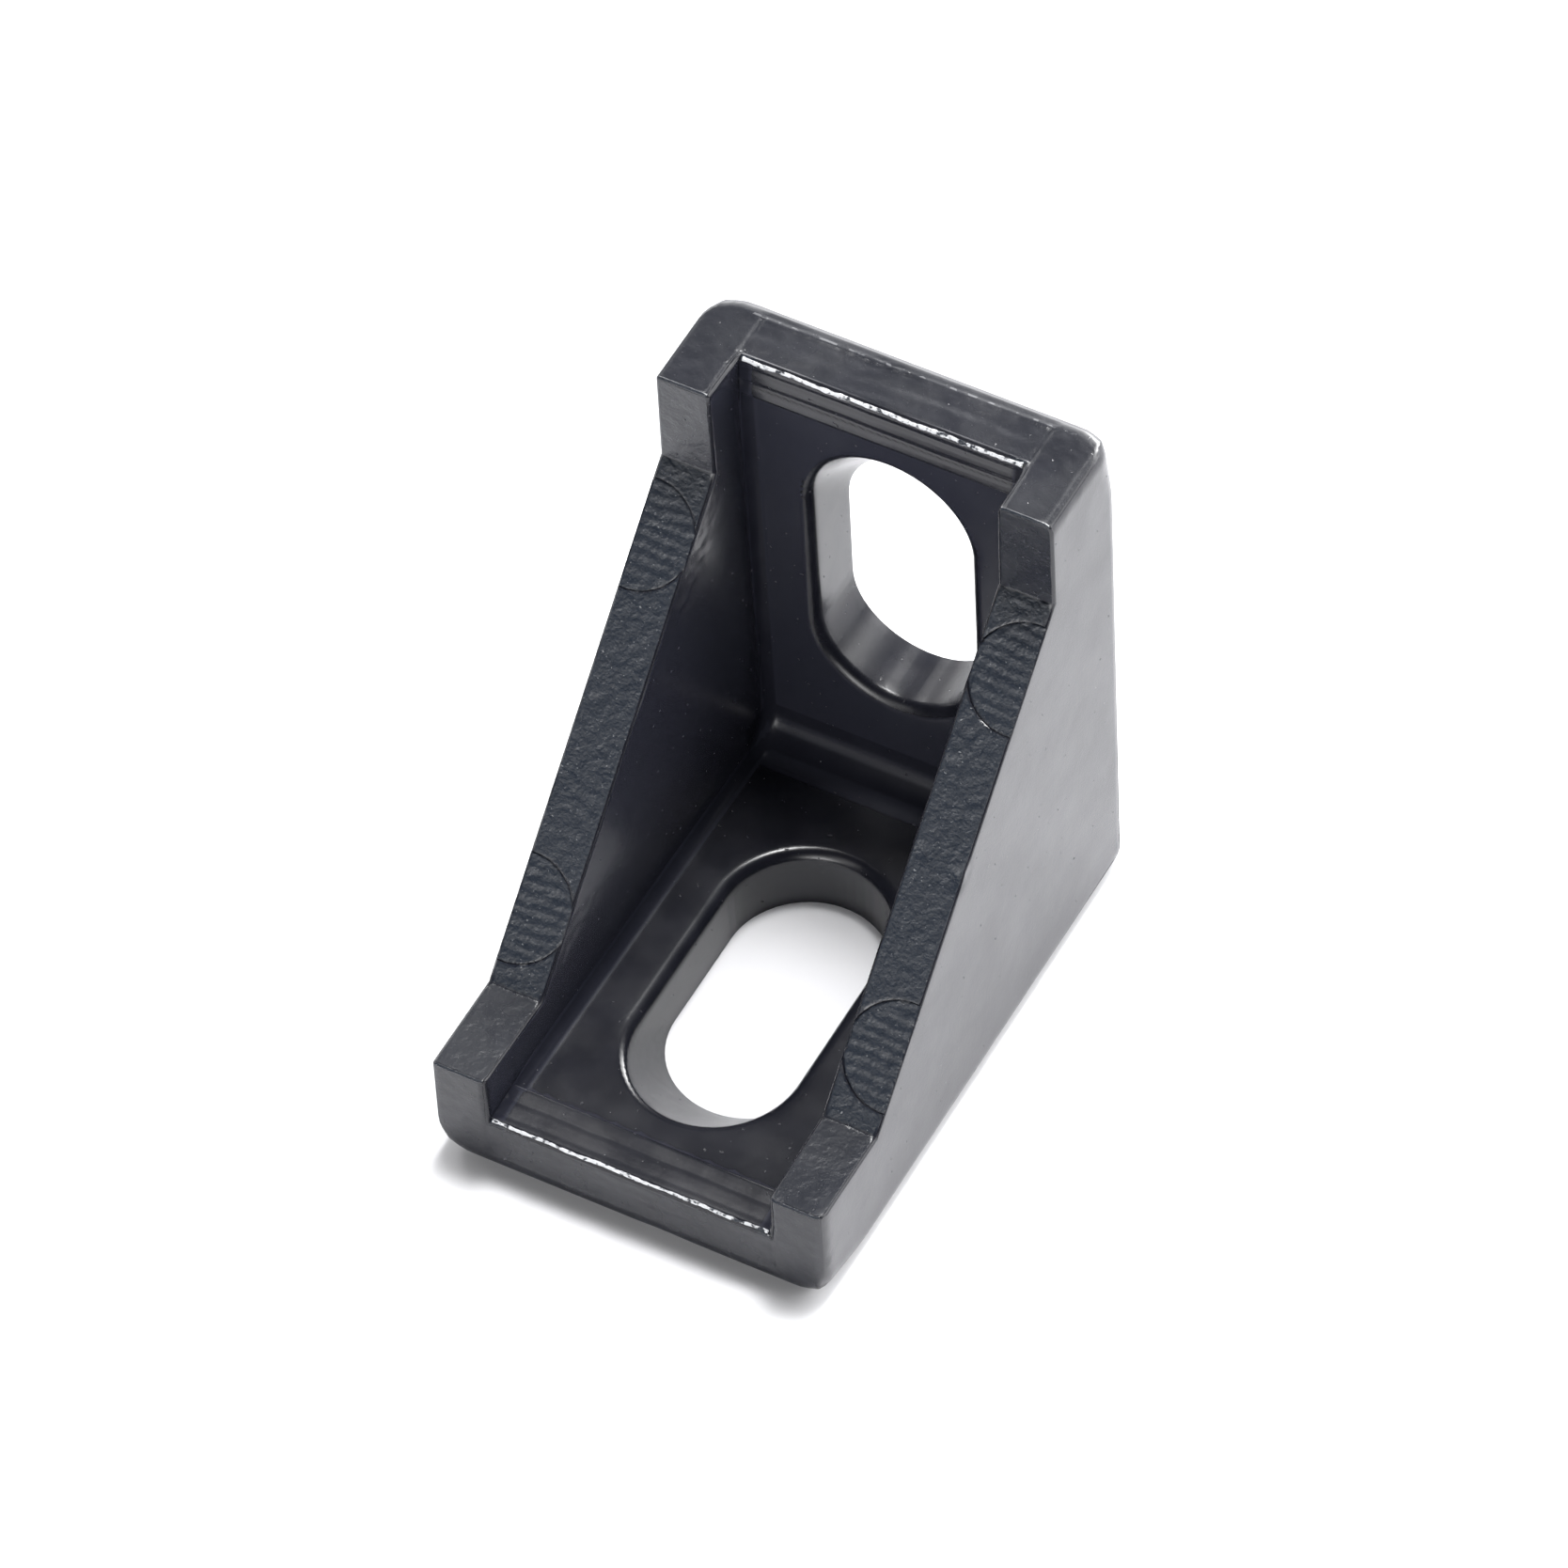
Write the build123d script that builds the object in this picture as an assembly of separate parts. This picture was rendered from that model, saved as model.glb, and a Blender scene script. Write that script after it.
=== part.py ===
from build123d import *
from math import radians, sqrt, tan
import os

# Cast corner bracket for T slot framing: two slotted legs at a right angle, joined by two cheeks.
#
# Frame: +Z up and X across the width. The base leg lies along -Y from the heel, and the back leg
# stands on the heel at +Y. The origin is the middle of the base's footprint, on its mating face.

# Overall
LEG_LENGTH = 28.0        # from the other leg's mating face to the tip
WIDTH = 19.0             # across both cheeks, a little under the 20 mm framing
PLATE = 3.2              # thickness of each leg between the cheeks

# Cheeks, with an ear at each tip
CHEEK = 2.7              # thickness of each cheek along its slope
CHEEK_DRAFT = 1.0        # degrees by which the pocket widens towards its mouth
EAR_HEIGHT = 6.0         # from the mating face to the land on top of the ear
EAR_LENGTH = 5.0         # length of that land

# Raised lip across each tip, between the ears
LIP_THICKNESS = 3.6      # from the mating face to the highest line of the lip
LIP_LENGTH = 2.3
LIP_FALL = 0.22          # by which the lip falls from that line to the tip
LIP_ROUND = 0.4          # edge at the tip
LIP_BACK_ROUND = 0.25    # edge on the pocket's side

# Slots, the same in both legs, measured at the mating face
SLOT_WIDTH = 7.5
SLOT_START = 8.425       # from the other leg's mating face to the nearer end of the slot
SLOT_TO_LIP = 4.725      # from its farther end to the lip
SLOT_DRAFT = 1.5         # degrees by which the walls open towards the pocket
SLOT_SLANT = 45.0        # degrees by which the outer end leans away, for the core to pull out
RIM_ROUND = 0.6

# Rounds
MATING_ROUND = 0.95      # round the edges of both mating faces, the heel included
HEEL_ROUND = 2.0         # inner corner between the two legs
ROOT_ROUND = 0.7         # between the cheeks and the legs
EDGE_ROUND = 0.18        # edges of the ears and the slopes

# Ejector pin marks at both ends of each slope
MARK_DIAMETER = 5.0
MARK_DEPTH = 0.08
MARK_INSET = 3.5         # from the end of the slope to the middle of the mark
MARK_OFFSET = 0.3        # from the outside of the cheek to the middle of the mark

HALF_WIDTH = WIDTH / 2
LIP_START = LEG_LENGTH - LIP_LENGTH
SLOT_END = LIP_START - SLOT_TO_LIP
SLOT_POSITION = (SLOT_START + SLOT_END) / 2
SLOT_SPACING = SLOT_END - SLOT_START - SLOT_WIDTH
BEYOND = 2.0             # how far cutting tools run past the casting

# The legs are mirror images of each other in this plane. Across it, distances run from the
# heel's outer corner to the mouth of the pocket, along the plane's -Y.
BISECTOR = Plane(origin=(0, 0, 0), x_dir=(1, 0, 0), z_dir=(0, 1, 1))
TO_MOUTH = Vector(0, -1, 1).normalized()
MOUTH_DISTANCE = (LEG_LENGTH - EAR_LENGTH + EAR_HEIGHT) / sqrt(2)


def both_legs(shape):
    """A feature of the base leg and its mirror image in the back leg."""
    return [shape, mirror(shape, about=BISECTOR)]


def extruded_profile(points, half_width):
    """A solid with the given side view, as (y, z) points, centred on X."""
    return extrude(Plane.YZ * Polygon(*points, align=None), half_width, both=True)


def outer_block():
    """The casting's outside, before the pocket: legs, ears and the slope between them."""
    slope_end = LEG_LENGTH - EAR_LENGTH
    block = extruded_profile(
        [
            (0, 0),
            (0, LEG_LENGTH),
            (-EAR_HEIGHT, LEG_LENGTH),
            (-EAR_HEIGHT, slope_end),
            (-slope_end, EAR_HEIGHT),
            (-LEG_LENGTH, EAR_HEIGHT),
            (-LEG_LENGTH, 0),
        ],
        HALF_WIDTH,
    )
    base_edges = block.faces().sort_by(Axis.Z)[0].edges()
    back_edges = block.faces().sort_by(Axis.Y)[-1].edges()
    heel_edge = base_edges.sort_by(Axis.Y)[-1:]
    other_base_edges = base_edges.sort_by(Axis.Y)[:-1]
    other_back_edges = back_edges.sort_by(Axis.Z)[1:]
    return fillet(heel_edge + other_base_edges + other_back_edges, MATING_ROUND)


def pocket_wedge():
    """Everything between the drafted inner faces of the two cheeks."""
    at_mouth = HALF_WIDTH - CHEEK
    widening = tan(radians(CHEEK_DRAFT))
    at_heel = at_mouth - MOUTH_DISTANCE * widening
    depth = (LEG_LENGTH + EAR_HEIGHT) / sqrt(2) + BEYOND
    at_depth = at_heel + depth * widening
    outline = Polygon((-at_heel, 0), (at_heel, 0), (at_depth, -depth), (-at_depth, -depth), align=None)
    return extrude(BISECTOR * outline, LEG_LENGTH + BEYOND, both=True)


def pocket_layer(corner, low, reach):
    """The pocket down to a line from its heel corner to a height above the mating face at its reach."""
    points = [(-corner, corner), (-reach, low), (-reach, reach), (-low, reach)]
    return extruded_profile(points, HALF_WIDTH) & pocket_wedge()


def root_edges(layer):
    """The pocket's edges where the cheeks meet the legs, round the heel from tip to tip."""
    along_legs = layer.edges().filter_by(Axis.X, reverse=True)
    limit = PLATE + HEEL_ROUND
    return [e for e in along_legs if min(-e.center().Y, e.center().Z) < limit]


def plate_layer():
    """The pocket between the lips, down to the plates, with its heel and its roots rounded."""
    layer = pocket_layer(PLATE, PLATE, LIP_START)
    heel_edge = layer.edges().filter_by(Axis.X).sort_by(SortBy.DISTANCE)[0]
    layer = fillet(heel_edge, HEEL_ROUND)
    return fillet(root_edges(layer), ROOT_ROUND)


def lip_layer():
    """The pocket above the lips, whose tops fall away towards the tips."""
    slope = LIP_FALL / LIP_LENGTH
    corner = (LIP_THICKNESS + slope * LIP_START) / (1 + slope)
    reach = LEG_LENGTH + BEYOND
    return pocket_layer(corner, LIP_THICKNESS - slope * (reach - LIP_START), reach)


def slot_section(height):
    """The base leg's slot at one height above the mating face."""
    stretch = height * tan(radians(SLOT_SLANT))
    width = SLOT_WIDTH + 2 * height * tan(radians(SLOT_DRAFT))
    place = Pos(0, -SLOT_POSITION - stretch / 2, height)
    return place * SlotCenterToCenter(SLOT_SPACING + stretch, width, rotation=90)


def slot_cutter():
    """The base leg's slot, with its outer end leaning outwards as it rises into the pocket."""
    return loft([slot_section(0), slot_section(PLATE + BEYOND)], ruled=True)


def slot_rims(bracket):
    """Edges of both slots on the pocket's side."""
    slotted = bracket.faces().filter_by(lambda face: len(face.inner_wires()) > 0)
    base_inside = slotted.filter_by(Axis.Z).sort_by(Axis.Z)[-1]
    back_inside = slotted.filter_by(Axis.Y).sort_by(Axis.Y)[0]
    return base_inside.inner_wires()[0].edges() + back_inside.inner_wires()[0].edges()


def height(shape):
    """How far the middle of a face or an edge stands above the nearer mating face."""
    return min(-shape.center().Y, shape.center().Z)


def tip_faces(bracket):
    """The flat end of each leg."""
    base_tip = bracket.faces().filter_by(Axis.Y).sort_by(Axis.Y)[0]
    back_tip = bracket.faces().filter_by(Axis.Z).sort_by(Axis.Z)[-1]
    return ShapeList([base_tip, back_tip])


def lip_edges(bracket):
    """The upper edge of each lip, at the tip of its leg."""
    across = tip_faces(bracket).edges().filter_by(Axis.X)
    between_ears = across.filter_by(lambda edge: edge.length < WIDTH - CHEEK)
    return between_ears.filter_by(lambda edge: height(edge) < LIP_THICKNESS + LIP_ROUND)


def lip_backs(bracket):
    """The upper edge of each lip, on the pocket's side."""
    across = bracket.edges().filter_by(Axis.X)
    places = [(-LIP_START, LIP_THICKNESS), (-LIP_THICKNESS, LIP_START)]
    return ShapeList([across.sort_by_distance((0, y, z))[0] for y, z in places])


def cheek_edges(bracket):
    """The edges of the slopes, of the lands and of the ends of the ears."""
    tips = tip_faces(bracket)
    flats = bracket.faces().filter_by(GeomType.PLANE)
    above_lips = flats.filter_by(lambda face: height(face) > LIP_THICKNESS)
    tops = above_lips.filter_by(lambda face: abs(face.normal_at().X) < 0.5)
    along = tops.edges().filter_by(Axis.X, reverse=True) + tips.edges().filter_by(Axis.X, reverse=True)
    across = tips.edges().filter_by(Axis.X)
    return along + across.filter_by(lambda edge: height(edge) > LIP_THICKNESS + LIP_ROUND)


def pin_marks():
    """Shallow round marks left by the ejector pins, half on each cheek at both ends of its slope."""
    slope_length = sqrt(2) * (LEG_LENGTH - EAR_LENGTH - EAR_HEIGHT)
    along = slope_length / 2 - MARK_INSET
    aside = HALF_WIDTH - MARK_OFFSET
    slope = Plane(origin=TO_MOUTH * MOUTH_DISTANCE, x_dir=(1, 0, 0), z_dir=TO_MOUTH)
    places = GridLocations(2 * aside, 2 * along, 2, 2)
    return [slope * place * Cylinder(MARK_DIAMETER / 2, 2 * MARK_DEPTH) for place in places]


def corner_bracket():
    """The finished casting, with the heel's outer corner at the origin."""
    bracket = outer_block() - plate_layer() - lip_layer() - both_legs(slot_cutter())
    bracket = fillet(slot_rims(bracket), RIM_ROUND)
    bracket = fillet(lip_edges(bracket), LIP_ROUND)
    bracket = fillet(lip_backs(bracket), LIP_BACK_ROUND)
    bracket = fillet(cheek_edges(bracket), EDGE_ROUND)
    return bracket - pin_marks()


os.makedirs("parts", exist_ok=True)
export_step(Pos(0, LEG_LENGTH / 2, 0) * corner_bracket(), "parts/corner_bracket.step")
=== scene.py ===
import math

import bmesh
import bpy
import numpy as np
from mathutils import Matrix, Vector, geometry, noise


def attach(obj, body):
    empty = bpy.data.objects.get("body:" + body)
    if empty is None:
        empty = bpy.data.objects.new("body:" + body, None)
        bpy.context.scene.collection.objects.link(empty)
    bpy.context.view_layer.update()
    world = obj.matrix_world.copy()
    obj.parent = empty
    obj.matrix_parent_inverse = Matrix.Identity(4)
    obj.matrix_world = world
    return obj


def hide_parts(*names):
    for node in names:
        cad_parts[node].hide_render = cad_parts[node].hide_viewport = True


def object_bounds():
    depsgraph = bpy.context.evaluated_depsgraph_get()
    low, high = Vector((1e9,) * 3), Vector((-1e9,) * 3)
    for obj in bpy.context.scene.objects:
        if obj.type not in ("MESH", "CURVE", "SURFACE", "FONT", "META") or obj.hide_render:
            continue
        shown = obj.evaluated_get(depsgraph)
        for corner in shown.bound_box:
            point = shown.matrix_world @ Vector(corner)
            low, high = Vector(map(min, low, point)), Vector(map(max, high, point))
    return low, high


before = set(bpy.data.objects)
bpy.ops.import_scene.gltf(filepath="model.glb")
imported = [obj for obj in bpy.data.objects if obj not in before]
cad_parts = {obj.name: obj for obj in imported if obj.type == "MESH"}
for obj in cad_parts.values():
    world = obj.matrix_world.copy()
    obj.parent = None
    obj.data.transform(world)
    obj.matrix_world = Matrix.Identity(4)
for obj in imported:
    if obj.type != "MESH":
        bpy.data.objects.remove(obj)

CAD_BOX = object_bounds()
MM = 0.001

# The bracket's own sizes, in millimetres, in the shared frame
HALF_WIDTH = 9.5
LEG_LENGTH = 28.0
HEEL_Y = 14.0               # the back leg's mating face
EAR_HEIGHT = 6.0
EAR_LENGTH = 5.0
CHEEK = 2.7
CHEEK_DRAFT = math.radians(1.0)
LIP_LENGTH = 2.3
LIP_THICKNESS = 3.6
PLATE = 3.2
HEEL_ROUND = 2.0
LIP_TIP_HEIGHT = 3.38
LIP_ROUND = 0.4
MATING_ROUND = 0.95
EDGE_ROUND = 0.18
MARK_RADIUS = 2.5
MARK_INSET = 3.5
MARK_OFFSET = 0.3

TIP_Y = HEEL_Y - LEG_LENGTH
INSIDE = HALF_WIDTH - CHEEK
EAR_MIDDLE = HALF_WIDTH - CHEEK / 2
SLOPE_LEVEL = LEG_LENGTH - EAR_LENGTH + EAR_HEIGHT - HEEL_Y     # z - y all over the slopes
SLOPE_MIDDLE = HEEL_Y                                           # z + y at their middle
SLOPE_HALF = (LEG_LENGTH - EAR_LENGTH - EAR_HEIGHT) / math.sqrt(2)

# Mesh density, in millimetres
FINE_STEP = 0.12
CHEEK_STEP = 0.2
COARSE_STEP = 0.34
EDGE_STEP = 0.45
EDGE_GAP = 0.55             # share of a step by which a flat face's inner points keep off its edges
PLANE_SHIFT = 0.05          # share of a step by which cutting planes keep off the lines of symmetry
SHARP_ANGLE = math.radians(50)

# Limits of the mesh work: lengths in metres, areas in square metres
WELD = 1e-7                 # in millimetres where points lie in a flat face's own plane
ON_LEVEL = 2e-6
NO_AREA = 1e-12             # an area, or a squared length, that counts as none
FLAT_AREA = 2.9e-6          # below it a flat face isn't filled anew
SAME_NORMAL = 0.99999       # cosine between the normals of one flat face's triangles

# Edge layers that hold the numbers of the flat faces on either side
SIDE_LAYERS = ("first_side", "second_side")

# Wear on the casting, in millimetres
END_ROUND = 1.6             # corners of both ends at the mating faces
END_REACH = 4.0             # over which that round shrinks to the mating faces' own
CORNER_ROUND = 0.5          # upright corners of the ears on the right, half as much on the left
INNER_ROUND = 0.35
EDGE_WAVE = 0.03
FLASH_LEAN = 0.10           # by which the flash sits up the lips from their tip edges
FLASH_STEP = 0.07
FLASH_DEPTH = 0.07          # by which the flash is set into the casting
CHIP = Vector((9.35, -0.7, 14.25))
CHIP_DEPTH = 0.16
CHIP_WIDTH = 0.30
NICK = Vector((1.5, -14.0, 0.3))
NICK_DEPTH = 0.14
NICK_WIDTH = 0.17
NICK_STRETCH = 5.0          # how much longer than high it is
SCRATCH = ((-1.6, 13.4), (-1.1, 12.95), (-0.5, 13.15), (0.0, 12.8), (0.45, 12.95))
SCRATCH_DEPTH = 0.02
SCRATCH_WIDTH = 0.09
AT_FACE = 0.2               # how near an end face a point on it lies

# How rough the skin is, next to 1 on the slopes
END_ROUGH = 0.15
LAND_ROUGH = 0.3
EDGE_ROUGH = 0.6
FLASH_ROUGH = 2.0           # past any skin's, to mark the flash

# Painted shade and light in the pocket: how much its reflections are dulled, and its sides and back lightened
# in colour, next to 1 in its rounded corners
SIDE_HOLLOW = 0.6
HEEL_HOLLOW = 0.6
BACK_HOLLOW = 0.5
SLOT_HOLLOW = 0.3

# Soft light: elevation and turn from +x in degrees, sharpness, brightness
SOFT_LIGHTS = (
    (77, 90, 140, 90.0),                                            # overhead key, a little behind
    (40, 90, 140, 14.0), (40, 150, 140, 11.0),                      # smaller ones, high behind
    (27, 22, 22, 6.6), (27, 68, 22, 4.8), (27, 112, 22, 2.0), (27, 158, 22, 0.4), (27, -113, 22, 1.8),
    (4, 80, 22, 51.0), (4, 120, 22, 6.0), (4, 160, 22, 4.4), (4, -80, 22, 10.0),
)

# The camera, at the photograph's viewing angle, aimed near the middle of the casting
CAMERA_AIM = Vector((0.207, 0.495, 14.262)) * MM
CAMERA_DISTANCE = 498.297 * MM
CAMERA_TURN = math.radians(-59.105)     # from +x, seen from above
CAMERA_RISE = math.radians(50.493)
CAMERA_ROLL = math.radians(-3.320)
CAMERA_LENS = 268.5                     # in millimetres, like the sensor
SENSOR = 36.0

# The floor, in metres
FLOOR_HALF = 3.0
FLOOR_GAP = 0.02 * MM

# Colours
FLOOR_GREY = (0.77, 0.77, 0.79, 1)
DARK_COAT = (0.0075, 0.008, 0.012, 1)
LIGHT_COAT = (0.0115, 0.012, 0.017, 1)
SKIN_COAT = (0.008, 0.012, 0.020, 1)
# A lighter tone for the pocket's sides and back: painted light
POCKET_PAINTED_LIGHT = (0.020, 0.021, 0.030, 1)
# Pale specks and wear, with painted glints on the skins and a painted highlight on the upper back edge
PALE_WEAR_AND_GLINT = (0.20, 0.205, 0.215, 1)
# The flash's colour: a painted highlight along the lips' tip edges
FLASH_HIGHLIGHT = (0.60, 0.61, 0.63, 1)


class ShaderTree:
    """The nodes of a world or a material, with short ways to add the ones used here."""

    def __init__(self, owner):
        owner.use_nodes = True
        self.nodes = owner.node_tree.nodes
        self.links = owner.node_tree.links

    def give(self, socket, given):
        """Links an input to an output, or sets it to a plain number or colour."""
        if isinstance(given, bpy.types.NodeSocket):
            self.links.new(given, socket)
        else:
            socket.default_value = given

    def place(self, kind):
        """Where the shaded point lies: "Object" from the origin, "Generated" as a direction in the world."""
        return self.nodes.new("ShaderNodeTexCoord").outputs[kind]

    def axes(self, place):
        """A place's x, y and z."""
        node = self.nodes.new("ShaderNodeSeparateXYZ")
        self.give(node.inputs[0], place)
        return node.outputs

    def attribute(self, name):
        """One of the mesh's own layers."""
        node = self.nodes.new("ShaderNodeAttribute")
        node.attribute_name = name
        return node.outputs["Fac"]

    def math(self, operation, first, second=0.0):
        """One operation on two inputs, each an output of another node or a plain number."""
        node = self.nodes.new("ShaderNodeMath")
        node.operation = operation
        self.give(node.inputs[0], first)
        self.give(node.inputs[1], second)
        return node.outputs["Value"]

    def plus(self, first, second):
        """The sum of two inputs."""
        return self.math("ADD", first, second)

    def times(self, first, second):
        """The product of two inputs."""
        return self.math("MULTIPLY", first, second)

    def noise(self, place, size, detail=2.0):
        """Smooth noise with features of a size in millimetres, about 0 to 1."""
        node = self.nodes.new("ShaderNodeTexNoise")
        self.give(node.inputs["Vector"], place)
        self.give(node.inputs["Scale"], 1 / (size * MM))
        self.give(node.inputs["Detail"], detail)
        return node.outputs["Fac"]

    def ramp(self, value, low, high, start=0.0, end=1.0):
        """A smooth step from start to end, as a value goes from low to high."""
        node = self.nodes.new("ShaderNodeMapRange")
        node.interpolation_type = "SMOOTHSTEP"
        self.give(node.inputs["Value"], value)
        for name, number in (("From Min", low), ("From Max", high), ("To Min", start), ("To Max", end)):
            self.give(node.inputs[name], number)
        return node.outputs["Result"]

    def mix(self, mask, first, second):
        """One colour where a mask is 0, and another where it is 1."""
        node = self.nodes.new("ShaderNodeMix")
        node.data_type = "RGBA"
        self.give(node.inputs["Factor"], mask)
        self.give(node.inputs["A"], first)
        self.give(node.inputs["B"], second)
        return node.outputs["Result"]


def make_camera():
    """A long lens, so that the legs look nearly parallel."""
    data = bpy.data.cameras.new("camera")
    data.lens = CAMERA_LENS
    data.sensor_width = SENSOR
    data.clip_start = 0.01
    data.clip_end = 20.0
    camera = bpy.data.objects.new("camera", data)
    turn = Matrix.Rotation(math.pi / 2 + CAMERA_TURN, 4, "Z")
    tilt = Matrix.Rotation(math.pi / 2 - CAMERA_RISE, 4, "X")
    roll = Matrix.Rotation(CAMERA_ROLL, 4, "Z")
    away = Matrix.Translation((0, 0, CAMERA_DISTANCE))
    camera.matrix_world = Matrix.Translation(CAMERA_AIM) @ turn @ tilt @ roll @ away
    bpy.context.scene.collection.objects.link(camera)
    bpy.context.scene.camera = camera


def make_world():
    """Soft light from all round, as a sum of smooth bright patches, each with its own direction."""
    world = bpy.data.worlds.new("studio")
    bpy.context.scene.world = world
    tree = ShaderTree(world)
    place = tree.place("Generated")
    total = 0.0
    for height, turn, sharpness, brightness in SOFT_LIGHTS:
        up = math.radians(height)
        aside = math.radians(turn)
        dot = tree.nodes.new("ShaderNodeVectorMath")
        dot.operation = "DOT_PRODUCT"
        tree.give(dot.inputs[0], place)
        level = math.cos(up)
        tree.give(dot.inputs[1], (level * math.cos(aside), level * math.sin(aside), math.sin(up)))
        facing = tree.math("MAXIMUM", dot.outputs["Value"], 0.0)
        patch = tree.math("POWER", facing, sharpness)
        total = tree.plus(total, tree.times(patch, brightness))
    background = tree.nodes["Background"]
    tree.give(background.inputs["Color"], (1, 1, 1, 1))
    tree.give(background.inputs["Strength"], total)


def make_floor():
    """A wide pale floor, a hair below the casting."""
    corners = [(x * FLOOR_HALF, y * FLOOR_HALF, 0) for x, y in ((-1, -1), (1, -1), (1, 1), (-1, 1))]
    mesh = bpy.data.meshes.new("floor")
    mesh.from_pydata(corners, [], [(0, 1, 2, 3)])
    floor = bpy.data.objects.new("floor", mesh)
    floor.location.z = CAD_BOX[0].z - FLOOR_GAP
    bpy.context.scene.collection.objects.link(floor)
    material = bpy.data.materials.new("floor")
    tree = ShaderTree(material)
    shader = tree.nodes["Principled BSDF"]
    tree.give(shader.inputs["Base Color"], FLOOR_GREY)
    tree.give(shader.inputs["Roughness"], 0.9)
    mesh.materials.append(material)


# ---------------------------------------------------------------- the refined casting

def flat_groups(bm):
    """The larger flat faces of the casting, each as a list of its triangles."""
    seen = set()
    groups = []
    for start in bm.faces:
        if start.index in seen or start.calc_area() < NO_AREA:
            continue
        seen.add(start.index)
        normal = start.normal.copy()
        level = normal.dot(start.verts[0].co)
        group = [start]
        stack = [start]
        while stack:
            for edge in stack.pop().edges:
                for face in edge.link_faces:
                    if face.index in seen or face.normal.dot(normal) < SAME_NORMAL:
                        continue
                    if abs(normal.dot(face.calc_center_median()) - level) > ON_LEVEL:
                        continue
                    seen.add(face.index)
                    stack.append(face)
                    group.append(face)
        groups.append(group)
    return [g for g in groups if sum(f.calc_area() for f in g) > FLAT_AREA]


def step_for(normal, centre):
    """The triangle size for a flat face: small where a texture shows, larger on the plain ones."""
    x, y, z = centre / MM
    on_slope_or_lip = abs(normal.y * normal.z) > 0.01 and abs(normal.x) < 0.005
    at_end = y < TIP_Y + 0.1 or z > LEG_LENGTH - 0.1
    on_ear = abs(abs(x) - EAR_MIDDLE) < 0.2 and abs(normal.x) < 0.1
    if on_slope_or_lip or at_end or on_ear:
        return FINE_STEP
    in_pocket = abs(normal.x) > 0.9 and HALF_WIDTH - abs(x) > 1
    return CHEEK_STEP if in_pocket else COARSE_STEP


def inside(points, triangles, slack=1e-6):
    """Which 2-D points lie inside any of the triangles."""
    found = np.zeros(len(points), bool)
    for a, b, c in triangles:
        sides = []
        for p, q in ((a, b), (b, c), (c, a)):
            sides.append((q[0] - p[0]) * (points[:, 1] - p[1]) - (q[1] - p[1]) * (points[:, 0] - p[0]))
        sides = np.array(sides)
        found |= (sides >= -slack).all(0) | (sides <= slack).all(0)
    return found


def far_from(points, segments, gap, batch=2000):
    """Which 2-D points keep a gap from every segment, worked out in batches to save memory."""
    a = segments[:, 0]
    along = segments[:, 1] - a
    squared_length = np.maximum((along ** 2).sum(1), NO_AREA)
    clear = np.ones(len(points), bool)
    for first in range(0, len(points), batch):
        p = points[first:first + batch, None] - a[None]
        t = np.clip((p * along).sum(2) / squared_length, 0, 1)
        distance = np.linalg.norm(p - t[..., None] * along, axis=2).min(1)
        clear[first:first + batch] = distance > gap
    return clear


def enclosed(made):
    """Which triangles of a triangulation lie inside its outline, counting crossings from outside."""
    edges, faces, limits = made[1], made[2], made[4]
    walls = {tuple(sorted(edge)) for edge, source in zip(edges, limits) if len(source) % 2}
    beside = {}
    for i, (a, b, c) in enumerate(faces):
        for pair in ((a, b), (b, c), (c, a)):
            beside.setdefault(tuple(sorted(pair)), []).append(i)
    state = {}
    stack = []
    for pair, owners in beside.items():
        if len(owners) == 1 and owners[0] not in state:
            state[owners[0]] = pair in walls
            stack.append(owners[0])
    while stack:
        i = stack.pop()
        a, b, c = faces[i]
        for pair in ((a, b), (b, c), (c, a)):
            key = tuple(sorted(pair))
            for other in beside[key]:
                if other not in state:
                    state[other] = state[i] != (key in walls)
                    stack.append(other)
    return [state.get(i, False) for i in range(len(faces))]


def fill_flat(bm, flat, edges):
    """Fills a flat face with even triangles, from its own edges inwards."""
    origin, u, v, step, triangles = flat
    verts = list({vert for edge in edges for vert in edge.verts})
    number = {vert: i for i, vert in enumerate(verts)}
    outline = np.array([((vert.co - origin).dot(u), (vert.co - origin).dot(v)) for vert in verts]) / MM
    segments = np.array([[outline[number[w]] for w in edge.verts] for edge in edges])
    low, high = outline.min(0), outline.max(0)
    rows = np.arange(low[1], high[1], step * math.sqrt(3) / 2)
    grid = [(x + (i % 2) * step / 2, y) for i, y in enumerate(rows) for x in np.arange(low[0], high[0], step)]
    grid = np.array(grid)
    grid = grid[inside(grid, triangles)]
    grid = grid[far_from(grid, segments, step * EDGE_GAP)]
    points = [Vector(p) for p in outline] + [Vector(p) for p in grid]
    links = [tuple(number[w] for w in edge.verts) for edge in edges]
    made = geometry.delaunay_2d_cdt(points, links, [], 0, WELD, True)
    placed, faces, sources = made[0], made[2], made[3]
    new = {}
    for face, good in zip(faces, enclosed(made)):
        if not good:
            continue
        corners = []
        for i in face:
            source = sources[i][0]
            if source < len(verts):
                corners.append(verts[source])
                continue
            if i not in new:
                new[i] = bm.verts.new(origin + (u * placed[i][0] + v * placed[i][1]) * MM)
            corners.append(new[i])
        if len(set(corners)) == 3:
            bm.faces.new(corners)


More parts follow.
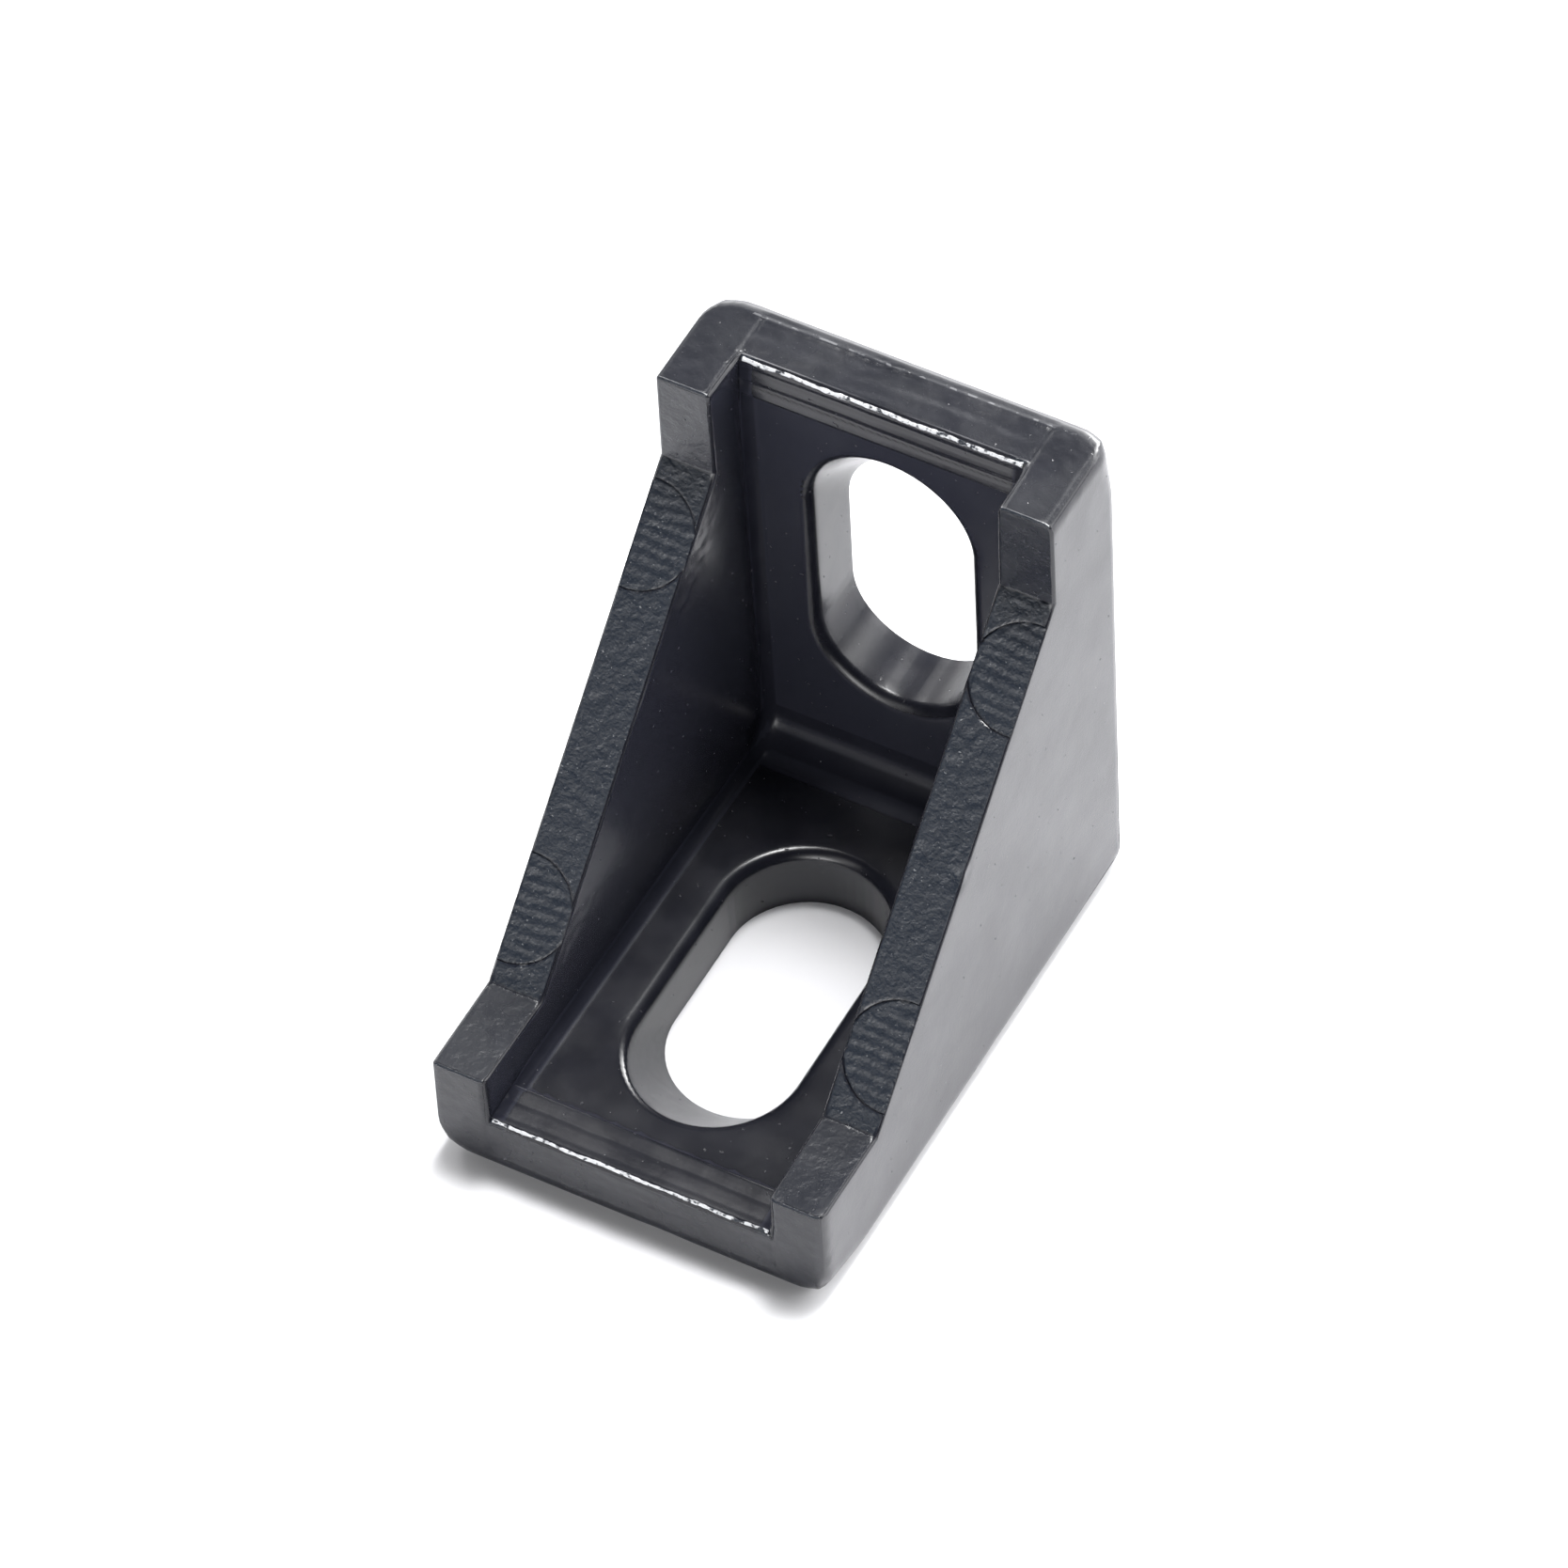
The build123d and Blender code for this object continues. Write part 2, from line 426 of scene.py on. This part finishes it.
def cut_across(bm):
    """Cuts the rounded faces and edges by evenly spaced planes on each axis."""
    low, high = CAD_BOX
    for axis in range(3):
        normal = Vector((axis == 0, axis == 1, axis == 2))
        count = int((high[axis] - low[axis]) / (EDGE_STEP * MM))
        for i in range(1, count):
            place = normal * (low[axis] + (high[axis] - low[axis]) * (i + PLANE_SHIFT) / count)
            across = [f for f in bm.faces if crosses(f, axis, place[axis])]
            long = [f for f in across if extent(f, axis) > 1.1 * EDGE_STEP * MM]
            bare = [e for e in bm.edges if not e.link_faces and crosses(e, axis, place[axis])]
            edges = list({e for f in long for e in f.edges}) + bare
            geom = long + edges + list({w for e in edges for w in e.verts})
            bmesh.ops.bisect_plane(bm, geom=geom, dist=ON_LEVEL, plane_co=place, plane_no=normal)
    bmesh.ops.triangulate(bm, faces=[f for f in bm.faces if len(f.verts) > 3])


def crosses(shape, axis, level):
    """Whether a face or an edge lies on both sides of a level."""
    places = [w.co[axis] - level for w in shape.verts]
    return min(places) < -ON_LEVEL and max(places) > ON_LEVEL


def extent(face, axis):
    """How far a face reaches along an axis."""
    places = [w.co[axis] for w in face.verts]
    return max(places) - min(places)


def flat_frame(group):
    """A flat face's middle, its two directions, its triangle size and its triangles in its own plane."""
    normal = group[0].normal.copy()
    centre = sum((f.calc_center_median() * f.calc_area() for f in group), Vector())
    centre /= sum(f.calc_area() for f in group)
    u = normal.orthogonal().normalized()
    v = normal.cross(u)
    corner_sets = [[(w.co - centre) for w in f.verts] for f in group]
    triangles = [[np.array((c.dot(u), c.dot(v))) / MM for c in three] for three in corner_sets]
    return centre, u, v, step_for(normal, centre), triangles


def border(group):
    """The edges between a flat face and the faces round it."""
    members = set(group)
    return [e for f in group for e in f.edges if not all(g in members for g in e.link_faces)]


def refined_mesh(node):
    """The CAD casting's mesh, with its flat faces and long edges cut into small even triangles."""
    bm = bmesh.new()
    bm.from_mesh(node.data)
    bmesh.ops.remove_doubles(bm, verts=bm.verts, dist=WELD)
    for name in SIDE_LAYERS:
        bm.edges.layers.int.new(name)
    first_side, second_side = (bm.edges.layers.int[name] for name in SIDE_LAYERS)
    bm.normal_update()
    bm.faces.ensure_lookup_table()
    groups = flat_groups(bm)
    flats = [flat_frame(group) for group in groups]
    for number, group in enumerate(groups, 1):
        for edge in border(group):
            edge[second_side if edge[first_side] else first_side] = number
    doomed = [face for group in groups for face in group]
    bmesh.ops.delete(bm, geom=doomed, context="FACES_ONLY")
    spare = [e for e in bm.edges if not e.link_faces and not e[first_side]]
    bmesh.ops.delete(bm, geom=spare, context="EDGES")
    inner_edges = [e for e in bm.edges if len(e.link_faces) == 2]
    bmesh.ops.dissolve_limit(bm, angle_limit=math.radians(1), verts=[], edges=inner_edges)
    cut_across(bm)
    curved = set(bm.verts)
    for number, flat in enumerate(flats, 1):
        edges = [e for e in bm.edges if number in (e[first_side], e[second_side])]
        fill_flat(bm, flat, edges)
    bmesh.ops.recalc_face_normals(bm, faces=bm.faces)
    return bm, curved


# ---------------------------------------------------------------- the casting's own relief

# From here to the flash, places, heights, widths and sizes are in millimetres.

def step_up(low, high, value):
    """0 at low and before it, 1 at high and past it, and smooth between them."""
    t = min(1.0, max(0.0, (value - low) / (high - low)))
    return t * t * (3 - 2 * t)


def near(distance, width):
    """1 on a line or a point, fading to 0 at about twice the width from it."""
    return math.exp(-(distance / width) ** 2)


def waves(place, size, seed):
    """Smooth noise from -1 to 1, with swells of about the given size. Each seed gives its own pattern."""
    return noise.noise(place / size + Vector((17.3, 5.1, 9.7)) * seed)


def along_slope(place):
    """The distance along the slopes from their middle, towards the top."""
    return (place.y + place.z - SLOPE_MIDDLE) / math.sqrt(2)


def mark_distance(place):
    """The distance from the middle of the nearest ejector pin mark, for a place on the slopes."""
    t = along_slope(place)
    middle = math.copysign(SLOPE_HALF - MARK_INSET, t)
    return math.hypot(t - middle, abs(place.x) - HALF_WIDTH + MARK_OFFSET)


def slope_relief(place):
    """Leathery skin with pits, wrinkles in the pin marks, and burrs round the marks and at the lands."""
    t = along_slope(place)
    relief = 0.030 * waves(place, 0.42, 1) + 0.020 * waves(place, 0.24, 2)
    relief -= 0.10 * max(0.0, waves(place, 0.75, 3) - 0.38)
    ring = mark_distance(place) - MARK_RADIUS
    wrinkle = math.sin(t * 11.0 + 2.6 * waves(place, 1.7, 4))
    relief += 0.020 * wrinkle * step_up(0.1, -0.5, ring)
    relief += 0.060 * near(ring + 0.02, 0.10) * (0.75 + 0.9 * waves(place, 0.7, 5))
    relief += 0.035 * near(ring + 0.34, 0.09) * (0.5 + waves(place, 0.6, 6))
    burr = 0.075 if t < 0 else 0.035
    relief += burr * near(SLOPE_HALF - abs(t), 0.10) * (0.8 + 0.9 * waves(place, 0.35, 7))
    relief += 0.035 * near(SLOPE_HALF - abs(t) - 0.34, 0.08) * (0.6 + waves(place, 0.5, 8))
    return relief


def cheek_relief(place):
    """The pocket's sides: slow swells, and skin like the slopes' own that spills over beside the marks."""
    depth = (SLOPE_LEVEL - place.z + place.y) / math.sqrt(2)
    t = along_slope(place)
    beside = near(t - 7.0, 4.2) + 0.8 * near(t + 9.5, 2.6) + 0.15
    skin = step_up(3.0, 0.8, depth) * beside
    relief = 0.030 * skin * (waves(place, 0.5, 9) + 0.5 * waves(place, 0.28, 10))
    return relief + 0.030 * waves(place, 4.5, 11) + 0.006 * waves(place, 1.1, 12)


def end_relief(place):
    """The legs' ends: fine orange peel, and soft bands and a parting line on the part below the lip."""
    across = abs(place.x)
    height = place.z if place.y < TIP_Y + 0.5 else HEEL_Y - place.y
    relief = -0.012 * (1 + waves(place, 0.5, 13)) - 0.016 * (1 + waves(place, 3.0, 14))
    between = step_up(INSIDE + 0.3, INSIDE, across)
    band = Vector((place.x * 0.12, height, 0))
    relief -= 0.028 * between * (1 + waves(band, 0.55, 15))
    relief -= 0.045 * near(across - INSIDE - 0.15, 0.09) * (0.8 + 0.5 * waves(place, 0.6, 16))
    relief += 0.030 * between * near(height - MATING_ROUND - 0.1, 0.10)
    return relief


def lip_relief(place, on_top):
    """The lips' flats: shallow grooves along them."""
    back = LEG_LENGTH - (place.z if on_top else HEEL_Y - place.y)
    wander = 0.04 * waves(place, 2.2, 17)
    relief = 0.002 * waves(place, 0.5, 18)
    relief -= (0.10 if on_top else 0.03) * near(back - 1.45 - wander, 0.13)
    relief -= (0.06 if on_top else 0.02) * near(back - 0.62 - wander, 0.10)
    return relief


def scratch_distance(place):
    """The distance from the scratch, a bent line on the upper end, seen from above."""
    spot = Vector((place.x, place.y))
    gaps = []
    for first, last in zip(SCRATCH, SCRATCH[1:]):
        part = geometry.intersect_point_line(spot, Vector(first), Vector(last))[1]
        part = min(1.0, max(0.0, part))
        gaps.append((spot - Vector(first).lerp(Vector(last), part)).length)
    return min(gaps)


def rounded_corner(first, second, old, new):
    """Moves a point, given by its distances from two faces, as the round between them grows."""
    a, b = new - first, new - second
    if a <= 0 or b <= 0 or old >= new:
        return first, second
    reach = math.hypot(a, b)
    cosine, sine = a / reach, b / reach
    outline = new / max(cosine, sine)
    centre = new - old
    if outline * min(cosine, sine) > centre:
        along = centre * (cosine + sine)
        outline = along + math.sqrt(max(0.0, along ** 2 - 2 * centre ** 2 + old ** 2))
    return new - a * new / outline, new - b * new / outline


def pocket_side(place):
    """How far from the middle the drafted side of the pocket lies."""
    return INSIDE + (place.z - place.y - SLOPE_LEVEL) / math.sqrt(2) * math.tan(CHEEK_DRAFT)


def rounded_end(side, low, from_tip):
    """Rounds a leg's outer corner at the mating face, most at the tip, inside the edge's own round."""
    radius = MATING_ROUND + (END_ROUND - MATING_ROUND) * step_up(END_REACH, 0, from_tip)
    short = min(MATING_ROUND, max(0.0, MATING_ROUND - from_tip))
    inset = MATING_ROUND - math.sqrt(MATING_ROUND ** 2 - short ** 2)
    side, low = rounded_corner(side, low - inset, MATING_ROUND - inset, radius)
    return side, low + inset


def round_ear_corners(place):
    """Rounds the corners of the ears at the ends of the legs, on the outer and the inner side."""
    side = HALF_WIDTH - abs(place.x)
    front, top = place.y - TIP_Y, LEG_LENGTH - place.z
    if front < END_REACH:
        side, low = rounded_end(side, place.z, front)
        top = LEG_LENGTH - low
    if top < END_REACH:
        side, low = rounded_end(side, HEEL_Y - place.y, top)
        front = HEEL_Y - low - TIP_Y
    radius = CORNER_ROUND if place.x > 0 else CORNER_ROUND / 2
    side, front = rounded_corner(side, front, EDGE_ROUND, radius)
    side, top = rounded_corner(side, top, EDGE_ROUND, radius)
    across = HALF_WIDTH - side
    inner = pocket_side(place)
    over_lip = LIP_THICKNESS + 0.3
    if across >= inner - 0.01 and place.z > over_lip and place.y < TIP_Y + 1:
        gap, front = rounded_corner(across - inner, front, EDGE_ROUND, INNER_ROUND)
        across = inner + gap
    if across >= inner - 0.01 and HEEL_Y - place.y > over_lip and place.z > LEG_LENGTH - 1:
        gap, top = rounded_corner(across - inner, top, EDGE_ROUND, INNER_ROUND)
        across = inner + gap
    return Vector((math.copysign(across, place.x), TIP_Y + front, LEG_LENGTH - top))


def relief_at(place, normal, curved):
    """The height of the skin over the plain casting at a place, and how rough it is there."""
    across = abs(place.x)
    relief = 0.0
    rough = 0.0
    on_slope = step_up(0.9, 0.985, (normal.z - normal.y) / math.sqrt(2))
    if on_slope and across > INSIDE - 0.6:
        relief += on_slope * slope_relief(place)
        rough = on_slope
    in_pocket = step_up(0.9, 0.98, -normal.x * math.copysign(1, place.x))
    if in_pocket and across > INSIDE - 0.5:
        relief += in_pocket * cheek_relief(place)
    at_front = place.y < TIP_Y + AT_FACE
    at_top = place.z > LEG_LENGTH - AT_FACE
    at_end = max(step_up(0.9, 0.99, -normal.y) * at_front, step_up(0.9, 0.99, normal.z) * at_top)
    if at_end:
        relief += at_end * end_relief(place)
        rough = max(rough, END_ROUGH * at_end)
        if at_top:
            relief -= SCRATCH_DEPTH * near(scratch_distance(place), SCRATCH_WIDTH)
    on_land = across > INSIDE and not at_end and max(normal.z, -normal.y) > 0.98
    if on_land and SLOPE_LEVEL - place.z + place.y < 4.0:
        relief += 0.014 * waves(place, 0.4, 19) + 0.018 * waves(place, 1.6, 20)
        rough = max(rough, LAND_ROUGH)
    if across < INSIDE + 0.2 and not at_end:
        if normal.z > 0.98 and place.y < TIP_Y + LIP_LENGTH:
            relief += lip_relief(place, False)
        if normal.y < -0.98 and place.z > LEG_LENGTH - LIP_LENGTH:
            relief += lip_relief(place, True)
    if abs(normal.x) > 0.95 and across > HALF_WIDTH - 0.1:
        relief -= 0.010 * (1 + waves(place, 3.5, 21)) + 0.004 * (1 + waves(place, 0.9, 22))
    outer_edge = curved and across > INSIDE - 0.4 and place.z - place.y > SLOPE_LEVEL - 0.6
    if outer_edge:
        relief -= EDGE_WAVE * (0.7 + waves(place, 1.5, 23) + 0.5 * waves(place, 0.7, 24))
        rough = max(rough, EDGE_ROUGH)
    relief -= CHIP_DEPTH * near((place - CHIP).length, CHIP_WIDTH)
    nick = math.hypot((place.x - NICK.x) / NICK_STRETCH, place.y - NICK.y, place.z - NICK.z)
    relief -= NICK_DEPTH * near(nick, NICK_WIDTH)
    return relief, rough


def pocket_shade_and_light_at(place, normal):
    """Painted shade and light in the pocket: how much its reflections are dulled, most in its rounded
    corners, which also sets its lighter painted tone.
    """
    height = min(place.z, HEEL_Y - place.y)
    along = max(place.z, HEEL_Y - place.y)
    to_cheek = pocket_side(place) - abs(place.x)
    to_plate = height - PLATE
    root = step_up(0.8, 0.3, to_cheek) * step_up(0.8, 0.3, to_plate)
    heel = step_up(HEEL_ROUND + 0.3, HEEL_ROUND - 0.2, along - PLATE)
    steep = step_up(0.52, 0.62, normal.z) * step_up(0.97, 0.90, normal.z)
    gentle = step_up(0.44, 0.34, normal.z)
    side = SIDE_HOLLOW * (abs(normal.x) > 0.9)
    back = BACK_HOLLOW * (normal.y < -0.95) * (along < LEG_LENGTH - LIP_LENGTH - 0.2)
    lip_back = near(along - LEG_LENGTH + LIP_LENGTH + 0.08, 0.16) * (height < EAR_HEIGHT - 1)
    if to_cheek < -0.1 or along > LEG_LENGTH - 0.3:
        return 0.0
    if to_plate < -0.05:
        in_upper_slot = 0.2 < height and place.z > PLATE + HEEL_ROUND
        return SLOT_HOLLOW * in_upper_slot
    return max(root, lip_back, heel * max(steep, gentle, HEEL_HOLLOW), side, back)


def shape_casting(bm, curved):
    """Moves the casting's points to its real skin, inside the plain casting's box."""
    bm.normal_update()
    for name in ("rough", "pocket_shade_and_light"):
        bm.verts.layers.float.new(name)
    rough_layer = bm.verts.layers.float["rough"]
    pocket_shade_and_light_layer = bm.verts.layers.float["pocket_shade_and_light"]
    low, high = CAD_BOX[0] / MM, CAD_BOX[1] / MM
    moves = []
    for vert in bm.verts:
        place = vert.co / MM
        relief, rough = relief_at(place, vert.normal, vert in curved)
        moved = round_ear_corners(place + vert.normal * relief)
        moves.append((vert, Vector([min(high[i], max(low[i], moved[i])) for i in range(3)])))
        vert[rough_layer] = rough
        vert[pocket_shade_and_light_layer] = pocket_shade_and_light_at(place, vert.normal)
    for vert, place in moves:
        vert.co = place * MM


def leg_point(on_back_leg, x, along, height):
    """A point of either leg, from its distance along the leg and its height over the mating face."""
    if on_back_leg:
        return Vector((x, HEEL_Y - height, along)) * MM
    return Vector((x, HEEL_Y - along, height)) * MM


def add_flash(bm, on_back_leg, half_width, seed):
    """Adds a jagged ridge of flash along the tip edge of a lip."""
    reach = INSIDE - 0.1
    inset = LIP_ROUND * (1 - math.sqrt(0.5))
    along = LEG_LENGTH - inset
    height = LIP_TIP_HEIGHT - inset
    count = int(2 * reach / FLASH_STEP)
    rings = []
    for i in range(count + 1):
        x = reach * (2 * i / count - 1)
        spot = Vector((x, 0, 0))
        rise = 0.10 + 0.09 * waves(spot, 0.45, seed) + 0.07 * waves(spot, 0.17, seed + 1)
        rise += 0.10 * near(x - INSIDE + 0.5, 0.25)
        rise = min(0.20, max(-0.02, rise))
        drift = FLASH_LEAN + 0.05 * waves(spot, 1.3, seed + 2)
        half = half_width * (1 + 0.4 * waves(spot, 0.3, seed + 3))
        section = [(-half, -FLASH_DEPTH), (half, -FLASH_DEPTH), (0.5 * half, rise), (-0.5 * half, rise)]
        ring = []
        for side, out in section:
            a = min(LEG_LENGTH, along + (out - side - drift) * math.sqrt(0.5))
            h = height + (out + side + drift) * math.sqrt(0.5)
            ring.append(bm.verts.new(leg_point(on_back_leg, x, a, h)))
        rings.append(ring)
    for first, last in zip(rings, rings[1:]):
        for i in range(4):
            bm.faces.new((first[i], first[(i + 1) % 4], last[(i + 1) % 4], last[i]))
    bm.faces.new(rings[0])
    bm.faces.new(rings[-1])
    rough_layer = bm.verts.layers.float["rough"]
    for ring in rings:
        for vert in ring:
            vert[rough_layer] = FLASH_ROUGH


def shade_edges(bm):
    """Shades the casting smoothly, but for its sharp edges away from the rough skins."""
    rough_layer = bm.verts.layers.float["rough"]
    for face in bm.faces:
        face.smooth = True
    for edge in bm.edges:
        on_skin = 0.5 < min(vert[rough_layer] for vert in edge.verts) < 1.5
        edge.smooth = on_skin or edge.calc_face_angle(0) < SHARP_ANGLE


def make_casting():
    """The whole bracket: the refined casting with its skin and its flash, in the black coat."""
    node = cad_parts["corner_bracket"]
    bm, curved = refined_mesh(node)
    shape_casting(bm, curved)
    add_flash(bm, False, 0.09, 31)
    add_flash(bm, True, 0.12, 41)
    bmesh.ops.recalc_face_normals(bm, faces=bm.faces)
    bmesh.ops.triangulate(bm, faces=[f for f in bm.faces if len(f.verts) > 3])
    shade_edges(bm)
    mesh = bpy.data.meshes.new("casting")
    bm.to_mesh(mesh)
    bm.free()
    casting = bpy.data.objects.new("casting", mesh)
    bpy.context.scene.collection.objects.link(casting)
    if "custom_normal" in mesh.attributes:
        mesh.attributes.remove(mesh.attributes["custom_normal"])
    mesh.materials.append(coat_material())
    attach(casting, "root")
    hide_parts("corner_bracket")


# ---------------------------------------------------------------- the black coat

def pale_wear_and_glints(tree, place, rough):
    """Pale specks, a few everywhere, and more on the rough skins that are painted glints; and worn dashes on
    the upper back edge, painted as a highlight where its round begins.
    """
    specks = tree.ramp(tree.noise(place, 0.20, 1.0), 0.80, 0.86, 0.0, 0.6)
    # More specks on the rough skins: painted glints
    glint_specks = tree.times(tree.ramp(tree.noise(place, 0.12, 1.0), 0.70, 0.80), rough)
    pale = tree.math("MAXIMUM", specks, tree.times(glint_specks, 0.8))
    y, z = tree.axes(place)[1:]
    # Worn dashes where the upper back edge's round begins, painted pale as a highlight
    from_edge = tree.math("ABSOLUTE", tree.math("SUBTRACT", y, (HEEL_Y - MATING_ROUND) * MM))
    on_edge = tree.ramp(from_edge, 0.03 * MM, 0.08 * MM, 1.0, 0.0)
    on_top = tree.ramp(z, (LEG_LENGTH - 0.2) * MM, (LEG_LENGTH - 0.1) * MM)
    broken = tree.ramp(tree.noise(place, 0.6), 0.52, 0.60)
    worn_and_highlight_dashes = tree.times(tree.times(on_edge, on_top), broken)
    return tree.math("MAXIMUM", pale, tree.times(worn_and_highlight_dashes, 0.4))


def coat_colour(tree, place, rough, pocket_shade_and_light, pale):
    """Blue-black in soft clouds, and over it the skins, a lighter tone on the pocket's sides and back that is
    painted light, the pale specks and wear with painted glints and a painted edge highlight, and the flash in
    a pale colour that is a painted highlight.
    """
    clouds = tree.ramp(tree.noise(place, 1.8, 4.0), 0.35, 0.7)
    colour = tree.mix(clouds, DARK_COAT, LIGHT_COAT)
    # A lighter colour on the pocket's sides and back, less in its rounded corners: painted light
    pocket_painted_light = tree.times(tree.ramp(pocket_shade_and_light, 0.3, 0.5), tree.ramp(pocket_shade_and_light, 0.65, 0.95, 1.0, 0.4))
    # The flash in a pale colour, broken by noise: a painted highlight along the lips' tip edges
    flash = tree.times(tree.ramp(rough, 1.2, 1.8), tree.ramp(tree.noise(place, 0.25), 0.36, 0.5))
    for mask, paint in ((rough, SKIN_COAT), (pocket_painted_light, POCKET_PAINTED_LIGHT), (pale, PALE_WEAR_AND_GLINT), (flash, FLASH_HIGHLIGHT)):
        colour = tree.mix(mask, colour, paint)
    return colour


def coat_roughness(tree, place, rough, pale, pits):
    """Glossy with soft swells, and duller on the skins, the pale wear with its painted glints and highlight,
    and the pits.
    """
    dull = tree.ramp(tree.noise(place, 2.5, 3.0), 0.3, 0.7, 0.20, 0.27)
    for mask, share in ((rough, 0.10), (pale, 0.15), (pits, 0.3)):
        dull = tree.plus(dull, tree.times(mask, share))
    return dull


def coat_bump(tree, place, rough, pits):
    """Orange peel on the paint, coarser and deeper on the rough skins and the outer sides."""
    across = tree.math("ABSOLUTE", tree.axes(place)[0])
    outside = tree.ramp(across, (HALF_WIDTH - 0.3) * MM, (HALF_WIDTH - 0.1) * MM)
    peel = tree.times(tree.noise(place, 0.22, 3.0), 0.25)
    satin = tree.times(tree.times(tree.noise(place, 0.14, 2.0), outside), 0.35)
    skin = tree.times(tree.times(tree.noise(place, 0.17, 4.0), rough), 4.5)
    height = tree.plus(tree.plus(peel, satin), skin)
    height = tree.math("SUBTRACT", height, tree.times(pits, 1.5))
    bump = tree.nodes.new("ShaderNodeBump")
    tree.give(bump.inputs["Strength"], 1.0)
    tree.give(bump.inputs["Distance"], 0.012 * MM)
    tree.give(bump.inputs["Height"], height)
    return bump.outputs["Normal"]


def coat_material():
    """Glossy blue-black paint, rough on the slopes, with pits and wear; in the pocket its reflections are
    dulled as painted shade, and over it lie painted light, glints and highlights.
    """
    material = bpy.data.materials.new("coat")
    tree = ShaderTree(material)
    shader = tree.nodes["Principled BSDF"]
    place = tree.place("Object")
    rough = tree.attribute("rough")
    pocket_shade_and_light = tree.attribute("pocket_shade_and_light")
    pale = pale_wear_and_glints(tree, place, rough)
    pits = tree.ramp(tree.noise(place, 0.28, 1.0), 0.755, 0.80)
    tree.give(shader.inputs["IOR"], 1.5)
    # The pocket's reflections are dulled, most in its rounded corners: painted shade
    tree.give(shader.inputs["Specular IOR Level"], tree.ramp(pocket_shade_and_light, 0.0, 1.0, 0.5, 0.05))
    tree.give(shader.inputs["Base Color"], coat_colour(tree, place, rough, pocket_shade_and_light, pale))
    tree.give(shader.inputs["Roughness"], coat_roughness(tree, place, rough, pale, pits))
    tree.give(shader.inputs["Normal"], coat_bump(tree, place, rough, pits))
    return material


bpy.context.scene.view_settings.view_transform = "Standard"
make_camera()
make_world()
make_floor()
make_casting()
